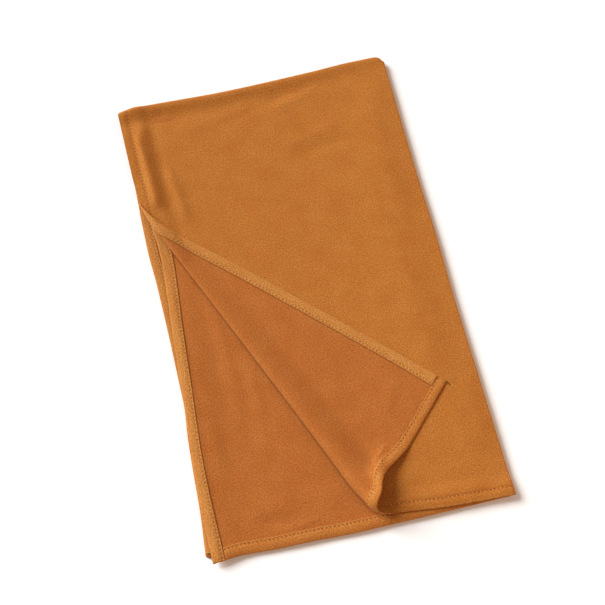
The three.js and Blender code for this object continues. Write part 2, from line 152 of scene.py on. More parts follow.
@dataclass(frozen=True)
class Crease:
    """A soft ridge, or a trough where its height is below zero, that fades out at both ends.

    Attributes:
        start: x and y of one end.
        end: x and y of the other end.
        width: distance from its line at which it is about a third as high.
        height: height at its middle.
        bow: how far its middle bends to the right of the straight line from start to end.
        fade: share of its length over which each end fades.
    """

    start: Pair
    end: Pair
    width: float
    height: float
    bow: float = 0.0
    fade: float = 0.3

    @classmethod
    def rows(cls, *rows: tuple[float, ...]) -> tuple[Crease, ...]:
        """Creases from rows of start x and y, end x and y, width, height, and any bow and fade."""
        return tuple(cls(row[:2], row[2:4], *row[4:]) for row in rows)

    def at(self, x: Points, y: Points) -> Points:
        """Height of the crease at each point."""
        run_x, run_y = self.end[0] - self.start[0], self.end[1] - self.start[1]
        length = math.hypot(run_x, run_y)
        along = ((x - self.start[0]) * run_x + (y - self.start[1]) * run_y) / length
        across = ((x - self.start[0]) * run_y - (y - self.start[1]) * run_x) / length
        share = np.clip(along / length, 0.0, 1.0)
        across = across - self.bow * 4 * share * (1 - share)
        ends = smooth(share, 0.0, self.fade) * fall(share, 1 - self.fade, 1.0)
        return self.height * bell(across, self.width) * ends


def relief(creases: tuple[Crease, ...], x: Points, y: Points) -> Points:
    """Sum of the heights of several creases."""
    return sum((crease.at(x, y) for crease in creases), np.zeros(np.shape(x)))


@dataclass(frozen=True)
class Packet:
    """Outlines and heights that the plies of the packet share.

    Attributes:
        cloth: thickness of the jersey.
        room: height that each ply takes in the stack.
        gap: air between plies.
        hidden_top: height of the top of the hidden plies.
        second_underside: height of the underside of the second ply.
        second_top: height of the upper side of the second ply, which is its wrong side.
        upper_rest: height of the underside of the upper ply where no hem lies beneath it.
        hem_width: width of a turned hem.
        hem_step: how far a hem lifts what lies on it.
        top_fold_foot: height that the fold over the top comes down to.
        corner_side: x of the packet's right side at its rounded far corner.
        corner_round: radius of that corner.
        corner_steepest: how much of the quarter turn it makes.
    """

    cloth: float = 0.8
    room: float = 1.0
    gap: float = 0.3
    hidden_plies: int = 4
    hidden_top: float = hidden_plies * room
    second_underside: float = hidden_top + gap
    second_top: float = second_underside + room
    upper_rest: float = second_top + gap
    hem_width: float = 14.0
    hem_step: float = 1.3
    top_fold_foot: float = 1.3
    corner_side: float = 176.6
    corner_round: float = 11.0
    corner_steepest: float = 0.99
    left: Profile = Profile(((-287, -174), (-100, -171), (155, -167), (200, -169), (296, -170)))
    lower: Profile = Profile(((-174, -286), (27, -288.5), (103, -296), (180, -300)))
    long_fold: Profile = Profile((
        (-300, 180), (-270, 179), (-140, 178), (-53, 177), (30, 178), (130, 177), (300, 178)))
    top_fold: Profile = Profile((
        (-171, 292), (-159, 294.5), (-148, 296.4), (-118, 295.6), (-30, 293), (80, 295.5), (135, 298),
        (180, 298)))
    second_left: Profile = Profile((
        (-300, -173), (-245, -173), (-81, -165), (-5, -161), (42, -158), (85, -156), (120, -158),
        (170, -164), (297, -166)))
    second_lower: Profile = Profile((
        (-174, -298.5), (-139, -295), (-102, -297), (-58, -298), (0, -300), (60, -300), (180, -299.5)))
    hidden_left: Profile = Profile((
        (-287, -180), (-275, -179), (-241, -176), (-150, -171), (-100, -167), (-35, -167), (50, -168),
        (97, -170), (200, -169), (298, -168)))
    hidden_lower: Profile = Profile((
        (-180, -288.5), (-166, -290), (-100, -295), (60, -298), (181, -298)))
    upper_hem: Profile = Profile(((-300, 12.8), (130, 12.6), (180, 13.2), (300, 13.6)))
    upper_end_hem: Profile = Profile(((-174, 12.0), (10, 12.0), (60, 12.6), (180, 12.4)))
    second_end_hem: Profile = Profile(((-174, 14), (180, 13.6)))
    hidden_hem: Profile = Profile(((-300, 14), (40, 12.2), (150, 11.6)))
    second_hem: Profile = Profile(((-298, 14), (-240, 13), (-150, 11), (-60, 12), (60, 14)))

    def margins(self, x: Points, y: Points) -> tuple[Points, Points]:
        """Distances in from the left and lower cut edges of the upper ply."""
        return x - self.left.at(y), y - self.lower.at(x)

    def far_edge(self, x: Points) -> Points:
        """Far outline of the packet, along the fold over the top and round its right corner."""
        start = self.corner_side - self.corner_round
        share = np.clip((x - start) / self.corner_round, 0.0, 1.0)
        drop = 1 - np.sqrt(1 - self.corner_steepest * share**2)
        return self.top_fold.at(x) - self.corner_round * drop


@dataclass(frozen=True)
class Placing:
    """Turns layout millimetres into metres of the frame."""

    shift_x: float
    shift_y: float

    @classmethod
    def from_solid(cls, node: str, high_x: float, high_y: float) -> Placing:
        """Read the shift from a solid's box.

        Args:
            node: name of the solid.
            high_x: its highest x in the layout.
            high_y: its highest y in the layout.

        Returns:
            The placing that puts the layout on the solid.
        """
        _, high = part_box(node)
        return cls(high[0] - high_x * METRES, high[1] - high_y * METRES)

    def metres(self, points: Points) -> Points:
        """Rows of layout points as rows of frame points."""
        return points * METRES + np.array([self.shift_x, self.shift_y, 0.0])


class Patch:
    """A rectangular stretch of grid in a bmesh, known by its column and row."""

    def __init__(self, mesh: bmesh.types.BMesh, columns: Points, rows: Points) -> None:
        """Add the grid.

        Args:
            mesh: bmesh that takes the grid.
            columns: value of each column, in order.
            rows: value of each row, in order.
        """
        self.mesh = mesh
        made = bmesh.ops.create_grid(
            mesh, x_segments=len(columns) - 1, y_segments=len(rows) - 1, size=1.0)
        self.verts = made["verts"]
        corners = np.array([vert.co[:2] for vert in self.verts])
        share = (corners - corners.min(axis=0)) / np.ptp(corners, axis=0)
        self.column = np.rint(share[:, 0] * (len(columns) - 1)).astype(int)
        self.row = np.rint(share[:, 1] * (len(rows) - 1)).astype(int)
        self.u = columns[self.column]
        self.v = rows[self.row]
        self.faces = list({face for vert in self.verts for face in vert.link_faces})

    def shape(self, points: Points) -> None:
        """Move the grid's vertices to rows of points."""
        for vert, point in zip(self.verts, points):
            vert.co = point

    def lay_out(self, use: Uses, places: Points) -> None:
        """Give each vertex a place on a UV map.

        Args:
            use: the map, made if it isn't there.
            places: two numbers for each vertex.
        """
        layers = self.mesh.loops.layers.uv
        layer = layers.get(use.value) or layers.new(use.value)
        uv = dict(zip(self.verts, places))
        for face in self.faces:
            for loop in face.loops:
                loop[layer].uv = uv[loop.vert]

    def face_up(self, upward: int) -> None:
        """Turn the faces to look up, or down where upward is below zero."""
        self.mesh.normal_update()
        lean = sum(face.normal.z * face.calc_area() for face in self.faces)
        if lean * upward < 0:
            bmesh.ops.reverse_faces(self.mesh, faces=self.faces)

    def line(self, column: int | None = None, row: int | None = None) -> list[bmesh.types.BMVert]:
        """Vertices of one column or one row."""
        chosen = self.column == column if row is None else self.row == row
        return [vert for vert, here in zip(self.verts, chosen) if here]


def close_up(mesh: bmesh.types.BMesh) -> None:
    """Join a strip that meets itself, fill its open ends and turn its faces outward."""
    bmesh.ops.remove_doubles(mesh, verts=mesh.verts[:], dist=1e-6)
    rims = [edge for edge in mesh.edges if edge.is_boundary]
    bmesh.ops.holes_fill(mesh, edges=rims, sides=0)
    bmesh.ops.recalc_face_normals(mesh, faces=mesh.faces[:])


def finished(name: str, mesh: bmesh.types.BMesh, materials: list[bpy.types.Material]) -> bpy.types.Object:
    """Turn a bmesh into a smooth-shaded object of the scene.

    Args:
        name: name of the piece.
        mesh: the bmesh, freed here.
        materials: its materials, in slot order.

    Returns:
        The new object.
    """
    for face in mesh.faces:
        face.smooth = len(face.verts) < 5
    data = bpy.data.meshes.new(name)
    mesh.to_mesh(data)
    mesh.free()
    for material in materials:
        data.materials.append(material)
    piece = bpy.data.objects.new(name, data)
    bpy.context.scene.collection.objects.link(piece)
    return piece


def thicken(piece: bpy.types.Object, thickness: float) -> None:
    """Give a sheet its thickness in millimetres, away from its face side and with its second finish there."""
    wall = piece.modifiers.new("thickness", "SOLIDIFY")
    wall.thickness = thickness * METRES
    wall.offset = -1.0
    wall.use_even_offset = False
    wall.material_offset = 1


class Uses(Enum):
    """UV maps that the finishes read."""

    CLOTH = "Cloth"
    SEAM = "Seam"


def opaque(colour: Triple, share: float = 1.0) -> tuple[float, ...]:
    """A colour at a share of its brightness, with full alpha."""
    return (*(part * share for part in colour), 1.0)


class Recipe:
    """One material, with short ways to add its nodes."""

    def __init__(self, name: str, skin: dict[str, Feed]) -> None:
        """Start the material.

        Args:
            name: its name.
            skin: number or colour for each socket of its shader.
        """
        self.material = bpy.data.materials.new(name)
        self.material.use_nodes = True
        self.tree = self.material.node_tree
        self.skin = self.tree.nodes["Principled BSDF"]
        self.feed(self.skin, skin)

    def feed(self, node: bpy.types.Node, inputs: dict[str | int, Feed]) -> None:
        """Set or link the inputs of a node.

        Args:
            node: the node.
            inputs: number, colour or socket for each input.
        """
        for name, value in inputs.items():
            if isinstance(value, Socket):
                self.tree.links.new(value, node.inputs[name])
            else:
                node.inputs[name].default_value = value

    def add(self, kind: str, inputs: dict[str | int, Feed], **options: str) -> dict[str, Socket]:
        """Add a node.

        Args:
            kind: its type, without the word ShaderNode.
            inputs: number, colour or socket for each input.
            options: its other settings.

        Returns:
            Its outputs by name.
        """
        node = self.tree.nodes.new(f"ShaderNode{kind}")
        for option, value in options.items():
            setattr(node, option, value)
        self.feed(node, inputs)
        return node.outputs

    def noise(self, place: Socket, scale: float, detail: float) -> Socket:
        """Noise over the cloth."""
        inputs = {"Vector": place, "Scale": scale, "Detail": detail, "Roughness": 0.6}
        return self.add("TexNoise", inputs)["Fac"]

    def spread(self, value: Socket, source: Pair, target: Pair) -> Socket:
        """A value spread from one range over another."""
        names = ("Value", "From Min", "From Max", "To Min", "To Max")
        return self.add("MapRange", dict(zip(names, (value, *source, *target))))["Result"]

    def maths(self, operation: str, *values: Feed) -> Socket:
        """Result of an operation on one or two values."""
        return self.add("Math", dict(enumerate(values)), operation=operation)["Value"]

    def mix(self, share: Socket, first: Feed, second: Feed) -> Socket:
        """A colour between two others."""
        return self.add("Mix", {"Factor": share, "A": first, "B": second}, data_type="RGBA")["Result"]

    def bump(self, height: Socket, strength: float, distance: float, **under: Socket) -> Socket:
        """Relief of a height, over the Normal of any relief beneath it."""
        inputs = {"Height": height, "Strength": strength, "Distance": distance, **under}
        return self.add("Bump", inputs)["Normal"]


@dataclass(frozen=True)
class Jersey:
    """Matte cotton jersey with a fine knit, a soft nap, and painted shade at the needle holes of its seams
    and along its hem folds.

    Attributes:
        name: name of the material.
        colour: linear base colour.
        painted_shade: strength of the painted shade line, a contact shadow painted where the cloth folds
            under a hem's inner fold and beside the roll.
        bump: strength of the knit in relief.
        fuzz: how far loose fibres lighten or deepen each part of the colour, as a share of it.
    """

    name: str
    colour: Triple
    painted_shade: float = 0.0
    bump: float = 0.5
    fuzz: Triple = (0.27, 0.50, 0.92)
    # Painted shade: the colour of the shade inside each needle hole, then the colour of the painted shade
    # line.
    hole_shade_colour: Triple = (0.17, 0.034, 0.006)
    painted_shade_colour: Triple = (0.17, 0.036, 0.006)

    def make(self) -> bpy.types.Material:
        """Build the material.

        Returns:
            The node material.
        """
        recipe = Recipe(self.name, {
            "Roughness": 0.9, "Specular IOR Level": 0.18,
            "Sheen Weight": 0.2, "Sheen Roughness": 0.42, "Sheen Tint": opaque(NAP_TINT),
            "Subsurface Weight": 0.35, "Subsurface Radius": (1.0, 0.3, 0.08), "Subsurface Scale": 0.004})
        cloth = recipe.add("UVMap", {}, uv_map=Uses.CLOTH.value)["UV"]
        yarn, tone = (recipe.noise(cloth, scale, 2.0) for scale in (640.0, 34.0))
        fibres = recipe.spread(yarn, (0.3, 0.7), (0.0, 1.0))
        broad = recipe.spread(tone, (0.3, 0.7), (0.85, 1.15))
        deep, pale = (
            tuple(part * (1 + way * share) for part, share in zip(self.colour, self.fuzz)) for way in (-1, 1))
        dyed = recipe.mix(recipe.maths("MULTIPLY", fibres, broad), opaque(deep), opaque(pale))
        recipe.feed(recipe.skin, {
            "Base Color": self.painted_seam_shade(recipe, dyed, recipe.noise(cloth, 160.0, 1.0)),
            "Normal": self.knit(recipe, cloth, yarn)})
        return recipe.material

    def painted_seam_shade(self, recipe: Recipe, dyed: Socket, tone: Socket) -> Socket:
        """Paint shade into the cloth's colour at each needle hole of a seam, and as a shade line where the
        cloth folds under a hem's inner fold or lies beside the roll.

        Args:
            recipe: the material.
            dyed: colour of the cloth.
            tone: noise that makes the holes uneven.

        Returns:
            The darkened colour.
        """
        seam = recipe.add("UVMap", {}, uv_map=Uses.SEAM.value)["UV"]
        parts = recipe.add("SeparateXYZ", {"Vector": seam})
        turns = recipe.maths("PINGPONG", parts["X"], 0.5)
        along = recipe.spread(turns, (0.5 - Seam.hole_share, 0.5), (0.0, 1.0))
        across = recipe.spread(recipe.maths("ABSOLUTE", parts["Y"]), (0.6, 1.3), (1.0, 0.0))
        # Painted shade of the needle holes, deeper at some holes than at others.
        uneven = recipe.spread(tone, (0.35, 0.6), (0.65, 1.0))
        hole = recipe.maths("MULTIPLY", recipe.maths("MULTIPLY", along, across), uneven)
        holed = recipe.mix(hole, dyed, opaque(self.hole_shade_colour))
        if not self.painted_shade:
            return holed
        # Painted shade line: a contact shadow painted from 2.2 to 4.4 mm past the row, beside a hem's inner
        # fold or the roll.
        into = recipe.spread(parts["Y"], (2.2, 2.9), (0.0, self.painted_shade))
        out = recipe.spread(parts["Y"], (3.2, 4.4), (1.0, 0.0))
        return recipe.mix(recipe.maths("MULTIPLY", into, out), holed, opaque(self.painted_shade_colour))

    def knit(self, recipe: Recipe, cloth: Socket, yarn: Socket) -> Socket:
        """Relief of the knit: its wales, and over them the unevenness of its yarn."""
        wave = {"Vector": cloth, "Scale": 330.0, "Distortion": 2.5, "Detail": 2.0, "Detail Scale": 3.0}
        wales = recipe.add("TexWave", wave, wave_type="BANDS", bands_direction="X")["Fac"]
        fine = recipe.bump(wales, self.bump * 0.5, 0.0003)
        return recipe.bump(yarn, self.bump, 0.0006, Normal=fine)


@dataclass(frozen=True)
class Thread:
    """Twisted sewing thread in the cloth's colour."""

    name: str = "sewing_thread"
    colour: Triple = (0.60, 0.255, 0.066)

    def make(self) -> bpy.types.Material:
        """Build the material, with the thread's twist in relief.

        Returns:
            The node material.
        """
        recipe = Recipe(self.name, {
            "Roughness": 0.55, "Specular IOR Level": 0.35,
            "Sheen Weight": 0.2, "Sheen Tint": opaque(NAP_TINT)})
        place = recipe.add("TexCoord", {})["Object"]
        strands = recipe.add("TexNoise", {"Vector": place, "Scale": 2200.0})["Fac"]
        recipe.feed(recipe.skin, {
            "Base Color": recipe.mix(strands, opaque(self.colour, 0.75), opaque(self.colour, 1.2)),
            "Normal": recipe.bump(strands, 0.4, 0.0002)})
        return recipe.material


@dataclass(frozen=True)
class Finishes:
    """The finishes of the scarf."""

    face: bpy.types.Material
    back: bpy.types.Material
    side_hem: bpy.types.Material
    end_hem: bpy.types.Material
    thread: bpy.types.Material

    @classmethod
    def make(cls) -> Finishes:
        """Build each finish once."""
        return cls(
            face=Jersey("jersey_face", colour=(0.436, 0.154, 0.0250)).make(),
            back=Jersey("jersey_back", colour=(0.418, 0.132, 0.0246), painted_shade=0.6).make(),
            # Painted light: both hem finishes show the face cloth painted paler, the side hems much more, as
            # the light that falls on them. The back and both hems carry the painted shade line.
            side_hem=Jersey("jersey_side_hem", colour=(0.484, 0.199, 0.044), painted_shade=0.6).make(),
            end_hem=Jersey("jersey_end_hem", colour=(0.450, 0.164, 0.0310), painted_shade=0.6).make(),
            thread=Thread().make())


class Seam:
    """Where the needle went: one row of stitches along a hem.

    Attributes:
        pitch: distance from one stitch to the next.
        inset: distance of the row in from the edge.
        hole_share: share of a pitch on each side of a needle hole that its painted shade covers.
        past_row: how far past the row the map of an open hem goes.
        far_off: place on the map of cloth that has no seam.
    """

    pitch = 4.7
    inset = 11.2
    hole_share = 0.24
    past_row = 1.5
    far_off = (50.0, 50.0)

    @classmethod
    def places(cls, along: Points, inward: Points) -> Points:
        """Seam map of points: stitches along the hem and millimetres off the row."""
        return stack(along / cls.pitch, inward - cls.inset)

    @classmethod
    def lit_places(cls, along: Points, inward: Points) -> Points:
        """Seam map of a hem whose inner fold lies open, with no painted shade line beside it."""
        return cls.places(along, np.minimum(inward, cls.inset + cls.past_row))

    @classmethod
    def middles(cls, start: float, stop: float) -> Points:
        """Position of the middle of each stitch from start to stop."""
        first, last = math.ceil(start / cls.pitch), math.floor(stop / cls.pitch)
        return cls.pitch * np.arange(first, last)


@dataclass
class UpperCloth:
    """The upper ply, its turned corner and the folds at its right and far edges, as one sheet.

    Points of the cloth are named by where they would lie if the corner weren't turned.

    Attributes:
        apex: where the bend of the turned corner starts at the left edge.
        bend_angle: direction of the bend.
        settle: how far past the roll the turned corner comes to rest, along the bend.
        flap_rest: height of the turned corner above the ply, at rest.
        flap_puff: how far it puffs up inside its hems.
        loft: height of the ply above what it lies on.
        edge_curl: how far its cut edges curl down.
        roll: radius of the roll, along the bend.
        inset: how far before the bend the roll starts.
        flap_reach: how far past the roll the cloth is drawn.
        swells: broad forms of the ply.
        creases: creases of the ply.
        flap_creases: creases of the turned corner.
    """

    packet: Packet
    apex: Pair = (-167.0, 154.5)
    bend_angle: float = math.radians(-66.7)
    settle: Profile = Profile(((0, 14), (60, 17), (160, 30), (350, 36), (440, 40), (492, 52)))
    flap_rest: float = 1.8
    flap_puff: float = 0.9
    loft: float = 0.4
    edge_curl: float = 0.8
    over_second_hem: Pair = (5, 18)
    over_side_hem: Pair = (20, 39)
    over_end_hem: Pair = (13, 31)
    rim_height: float = 2.6
    rim_width: float = 8.5
    hollow_height: float = -1.0
    wave_height: float = 9.5
    wave_width: float = 22
    pull_in: float = 8
    swing_out: float = 1.0
    swing_up: float = 12.0
    roll: Profile = Profile((
        (0, 3.0), (100, 3.1), (250, 4.4), (350, 5.8), (420, 7.8), (450, 9.6), (468, 11.6), (480, 12.8),
        (492, 13.6)))
    inset: Profile = Profile(((0, 0), (420, 0), (440, 0.9), (455, 3.0), (467, 5.4), (480, 11.0), (492, 13.0)))
    flap_reach: float = 162.0
    swells: tuple[Crease, ...] = Crease.rows(
        (153, 285, 148, -270, 22, 2.3, 18, 0.12),
        (96, 240, 112, -190, 40, 1.3, 0, 0.3),
        (-152.5, 264, -147, 144, 5.2, 3.5, 0, 0.18),
        (-145.5, 278, -143, 140, 9, 1.7, 0, 0.14),
        (-169, 292, -169, 186, 7, 1.3, 0, 0.2),
        (128, -298, 182, -272, 10, -0.9, 0, 0.2),
    )
    creases: tuple[Crease, ...] = Crease.rows(
        (-133, 290, -127, 140, 9, -0.6, 2.0, 0.15),
        (-132, 284, -92, 250, 13, -0.8),
        (-127, 216, -112.5, 116, 6.5, 2.2),
        (12, 252, 100, 280, 6, 0.75, 4.0),
        (-60, 238, 60, 272, 7, -0.8, -3.0),
        (16, 196, 104, 222, 8, 0.8, 4.0),
        (20, 172, 118, 190, 9, -0.8, -5.0),
        (40, -4, 104, -32, 4, 0.5, 3.0),
        (96, -46, 134, -62, 4, 0.45),
        (30, -30, 90, -52, 6, -0.4),
        (128, 190, 146, -60, 9, -0.7, 5.0),
        (158, -130, 167, -245, 12, 1.4),
        (124, -150, 132, -230, 8, -0.6),
        (60, -215, 120, -232, 8, 0.5, 4.0),
        (-60, 150, 20, 60, 15, 0.45, 7.0),
    )
    flap_creases: tuple[Crease, ...] = Crease.rows(
        (51, -205, 26, -236, 3.0, 1.5, -1.5),
        (44, -222, 20, -250, 3.2, 1.7, -1.0),
        (47, -214, 22, -243, 2.2, -1.1),
        (42, -224, 16, -270, 8, 2.0, -2.0),
        (33, -222, 8, -238, 7.0, -1.8, -4.0),
        (-20, -60, -6, -120, 12, 0.6, 5.0),
        (20, -100, 30, -175, 11, -0.7, -4.0),
        (70, -90, 50, -160, 13, -0.7, 6.0),
        (84, -128, 60, -176, 6, 0.6),
        (-60, 20, -30, -40, 9, 0.4),
    )
    groove_depth: float = 0.55
    groove_width: float = 1.8

    def __post_init__(self) -> None:
        """Work out the directions along and across the bend."""
        self.along = np.array([math.cos(self.bend_angle), math.sin(self.bend_angle)])
        self.across = np.array([self.along[1], -self.along[0]])
        self.inward = np.array([0.0, 1.0]) - 2 * self.across[1] * self.across

    def to_bend(self, x: Points, y: Points) -> tuple[Points, Points]:
        """Distance along the bend from the apex, and out of it to the lower left."""
        dx, dy = x - self.apex[0], y - self.apex[1]
        return dx * self.along[0] + dy * self.along[1], dx * self.across[0] + dy * self.across[1]

    def from_bend(self, s: Points, t: Points) -> tuple[Points, Points]:
        """Layout x and y of bend distances."""
        return (self.apex[0] + s * self.along[0] + t * self.across[0],
                self.apex[1] + s * self.along[1] + t * self.across[1])

    def underside(self, x: Points, y: Points) -> Points:
        """Height of the ply's underside, which rises over the hems beneath it."""
        packet = self.packet
        from_left, from_lower = packet.margins(x, y)
        past_second_hem = x - packet.second_left.at(y) - packet.hem_width
        over_second = fall(past_second_hem, *self.over_second_hem)
        over_side = fall(from_left, *self.over_side_hem)
        over_end = fall(from_lower, *self.over_end_hem)
        hems = np.maximum(over_second, over_end) + np.maximum(over_side, over_end)
        fold = packet.top_fold.at(x) - 5 - y
        rim = self.rim_height * bell(fold, self.rim_width) * between(1.0, 0.6, smooth(x, -40, 140))
        hollow = self.hollow_height * bell(fold - 18, 9) * fall(x, 60, 160)
        curl = self.edge_curl * fall(np.minimum(from_left, from_lower), -1.0, 6.0)
        soft = relief(self.swells, x, y) + relief(self.creases, x, y) + rim + hollow - curl
        return packet.upper_rest + self.loft + packet.hem_step * hems + soft

    def wave(self, x: Points, y: Points, s: Points, past: Points) -> Points:
        """Raised wave beside the short end of the turned corner."""
        _, from_end = self.packet.margins(x, y)
        reach = smooth(past, 2, 26) * fall(past, 24, 84)
        beside_end = bell(np.maximum(0.0, from_end), self.wave_width)
        return self.wave_height * reach * beside_end * smooth(s, 310, 390)

    def flap_lift(self, x: Points, y: Points, turned_x: Points, turned_y: Points) -> Points:
        """How the turned corner puffs up inside its hems and creases."""
        from_left, from_lower = self.packet.margins(x, y)
        puff = self.flap_puff * smooth(from_left, -2, 17) * smooth(from_lower, -2, 17)
        return puff + relief(self.flap_creases, turned_x, turned_y)

    def swing(self, s: Points, past_foot: Points) -> Points:
        """How far the roll's start is drawn up along the packet's left edge."""
        return bell(s - 6, 17) * smooth(past_foot, 0, 3)

    def pull(self, x: Points, y: Points, past: Points) -> Points:
        """How far the short end is drawn in beside the roll."""
        _, from_end = self.packet.margins(x, y)
        return self.pull_in * smooth(past, 0, 20) * bell(past - 34, 24) * fall(from_end, 12, 60)

    def wrong(self, x: Points, y: Points) -> Points:
        """Place of the wrong side of the cloth: flat, round the roll, or back over the ply."""
        s, t = self.to_bend(x, y)
        radius, inset = self.roll.at(s), self.inset.at(s)
        foot_x, foot_y = self.from_bend(s, -inset)
        base = self.underside(foot_x, foot_y)
        turn = np.clip((t + inset) / radius, 0.0, math.pi)
        past = np.maximum(0.0, t + inset - math.pi * radius)
        out = np.where(past > 0, -past, radius * np.sin(turn)) - inset
        turned_x, turned_y = self.from_bend(s, out)
        pull = self.pull(x, y, past)
        swing = self.swing(s, t + inset)
        turned_x = turned_x + self.inward[0] * pull - self.swing_out * swing
        turned_y = turned_y + self.inward[1] * pull + self.swing_up * swing
        rest = self.underside(turned_x, turned_y) + self.flap_rest
        rest = rest + self.flap_lift(x, y, turned_x, turned_y) * smooth(past, 0, 12)
        start = np.maximum(base + 2 * radius, rest)
        settled = smooth(past / self.settle.at(s), 0.0, 1.0)
        flap = between(start, rest, settled) + self.wave(x, y, s, past)
        rolled = base + radius * (1 - np.cos(turn))
        turned_z = np.where(past > 0, flap, rolled)
        flat = t + inset <= 0
        return stack(np.where(flat, x, turned_x), np.where(flat, y, turned_y),
                     np.where(flat, self.underside(x, y), turned_z))

    def normal(self, x: Points, y: Points) -> Points:
        """Direction out of the face side."""
        run_x = self.wrong(x + PROBE, y) - self.wrong(x - PROBE, y)
        run_y = self.wrong(x, y + PROBE) - self.wrong(x, y - PROBE)
        return unit(np.cross(run_x, run_y))

    def seam_places(self, x: Points, y: Points) -> Points:
        """Seam map: along the nearer hem and off its row."""
        from_left, from_lower = self.hem_shares(x, y)
        side = Seam.places(y, from_left)
        end = Seam.lit_places(x, from_lower)
        return np.where((from_lower < from_left)[:, None], end, side)

    def hem_shares(self, x: Points, y: Points) -> tuple[Points, Points]:
        """Distances in from the two cut edges, scaled so that each hem is as wide as its section."""
        from_left, from_lower = self.packet.margins(x, y)
        return (from_left * HEM_SECTION / self.packet.upper_hem.at(y),
                from_lower * HEM_SECTION / self.packet.upper_end_hem.at(x))

    def groove(self, x: Points, y: Points) -> Points:
        """How far each seam draws the face side in."""
        from_left, from_lower = self.hem_shares(x, y)
        return self.groove_depth * bell(np.minimum(from_left, from_lower) - Seam.inset, self.groove_width)

    def side_radius(self, y: Points) -> Points:
        """Radius of the long fold."""
        edge = self.packet.long_fold.at(y) - 2.5
        return (self.underside(edge, y) + self.packet.cloth - self.packet.second_underside) / 2

    def end_radius(self, x: Points) -> Points:
        """Radius of the fold over the top."""
        edge = self.packet.far_edge(x) - 3.0
        return (self.underside(x, edge) + self.packet.cloth - self.packet.top_fold_foot) / 2

    def left_bound(self, y: Points) -> Points:
        """Left boundary of the unturned cloth: its edge above the apex and the bend below it."""
        s = (y - self.apex[1]) / self.along[1]
        bend = self.apex[0] + s * self.along[0]
        aside = -self.inset.at(s) / self.across[0]
        aside = -self.inset.at(s + aside * self.along[0]) / self.across[0]
        return np.where(y > self.apex[1], self.packet.left.at(y), bend + aside)

    def place(self, u: Points, v: Points) -> tuple[Points, Points]:
        """Layout x and y at a share of the way across and up the unturned cloth."""
        x, y = np.zeros(np.shape(u)), np.zeros(np.shape(u))
        for _ in range(FITTING_ROUNDS):
            x = between(self.left_bound(y), self.packet.long_fold.at(y) - self.side_radius(y), u)
            y = between(self.packet.lower.at(x), self.packet.far_edge(x) - self.end_radius(x), v)
        return x, y

    def face(self, u: Points, v: Points) -> Points:
        """Face side of the unturned cloth, with its half turns past a share of one."""
        packet = self.packet
        x, y = self.place(np.minimum(u, 1.0), np.minimum(v, 1.0))
        top = self.underside(x, y) + packet.cloth
        turn_u = np.clip(u - 1, 0.0, 1.0) * math.pi
        turn_v = np.clip(v - 1, 0.0, 1.0) * math.pi
        side = (top - packet.second_underside) / 2
        end = (top - packet.top_fold_foot) / 2
        inward = side * (1 - np.cos(turn_u))
        flat = (u <= 1) & (v <= 1)
        top = top - np.where(flat, self.groove(x, y), 0.0)
        return stack(
            x + side * np.sin(turn_u),
            y + (end - inward) * np.sin(turn_v),
            top - end * (1 - np.cos(turn_v)) - inward * np.cos(turn_v))

    def meet(self, v: Points, side: bool) -> Points:
        """Distance along the bend at which a row of the turned corner meets a cut edge.

        Args:
            v: the row, as a share of the roll up to 1 and past it in millimetres on from 1.
            side: whether it is the side edge, or else the short end.

        Returns:
            The distances.
        """
        low = np.full(np.shape(v), -40.0 if side else 390.0)
        high = np.full(np.shape(v), 410.0 if side else 500.0)
        for _ in range(40):
            middle = (low + high) / 2
            x, y = self.from_bend(middle, self.row_distance(v, middle))
            inside = x > self.packet.left.at(y) if side else y < self.packet.lower.at(x)
            high = np.where(inside, middle, high)
            low = np.where(inside, low, middle)
        return (low + high) / 2

    def row_distance(self, v: Points, s: Points) -> Points:
        """Distance of a row of the turned corner from the bend."""
        roll = math.pi * self.roll.at(s)
        return np.where(v <= 1, roll * v, roll + v - 1) - self.inset.at(s)

    def corner(self, u: Points, v: Points) -> tuple[Points, Points]:
        """Layout x and y, as if unturned, of a share of a row of the turned corner."""
        s = between(self.meet(v, True), self.meet(v, False), u)
        return self.from_bend(s, self.row_distance(v, s))

    def build(self, placing: Placing, finishes: Finishes) -> bpy.types.Object:
        """Make the sheet.

        Args:
            placing: turns layout points into frame points.
            finishes: the scarf's finishes.

        Returns:
            The finished piece.
        """
        mesh = bmesh.new()
        shares = graded((0, 0.05, 0.0042), (0.05, 0.9, 0.0062), (0.9, 0.945, 0.005), (0.945, 1, 0.0028))
        first, last = self.meet(np.zeros(1), True), self.meet(np.zeros(1), False)
        along_bend = between(first, last, shares[::-1])
        bend_x, bend_y = self.from_bend(along_bend, -self.inset.at(along_bend))
        lower = self.packet.lower.at(bend_x)
        upper = self.packet.far_edge(bend_x) - self.end_radius(bend_x)
        below = (bend_y - lower) / (upper - lower)
        below[0] = 0.0
        above = graded((below[-1], 0.95, 0.0058), (0.95, 1.0, 0.0036), (1.0, 2.0, 0.125))
        rows = np.concatenate((below[:-1], above))
        columns = graded((0, 0.055, 0.0035), (0.055, 0.9, 0.0088), (0.9, 1.0, 0.006), (1.0, 2.0, 0.125))
        unturned = Patch(mesh, columns, rows)
        unturned.shape(placing.metres(self.face(unturned.u, unturned.v)))
        x, y = self.place(np.minimum(unturned.u, 1.0), np.minimum(unturned.v, 1.0))
        over_side = np.clip(unturned.u - 1, 0, 1) * math.pi * self.side_radius(y)
        over_end = np.clip(unturned.v - 1, 0, 1) * math.pi * self.end_radius(x)
        unturned.lay_out(Uses.CLOTH, stack(x + over_side, y + over_end) * METRES)
        seam_places = self.seam_places(x, y)
        seam_places[:, 0] += over_end / Seam.pitch
        unturned.lay_out(Uses.SEAM, seam_places)
        reaches = graded((0, 1, 1 / 14), (1, 40, 2.2), (40, self.flap_reach, 3.2))
        turned = Patch(mesh, shares, reaches)
        x, y = self.corner(turned.u, turned.v)
